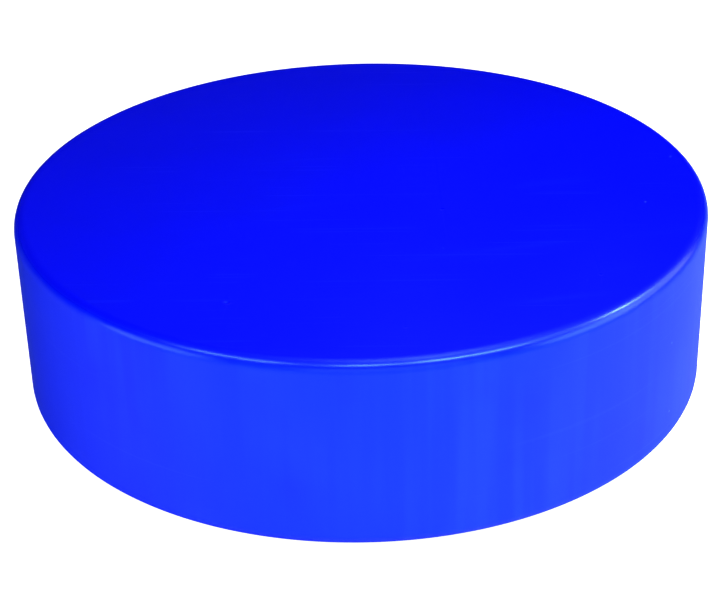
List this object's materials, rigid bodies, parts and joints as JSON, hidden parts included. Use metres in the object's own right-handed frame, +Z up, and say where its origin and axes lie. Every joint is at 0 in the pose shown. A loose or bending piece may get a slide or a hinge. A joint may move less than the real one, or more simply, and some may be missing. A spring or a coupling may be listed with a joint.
{
  "type": "hockey puck",
  "caption": "Plain solid disc of blue plastic with flat faces, a straight wall and softly rounded edges, slid and struck as a hockey puck in practice play",
  "frame": {"origin": "centre of the lower flat face, on the disc's axis", "axes": "+Z up along the disc's axis, +X to the right and +Y away from the viewer in the front view"},
  "size_m": [0.0762, 0.0762, 0.021],
  "materials": {
    "puck_plastic": "satin, fine cutter lines up the wall, faint straight scratches on the faces"
  },
  "bodies": {
    "root": {"puck": "puck_plastic"}
  },
  "joints": []
}
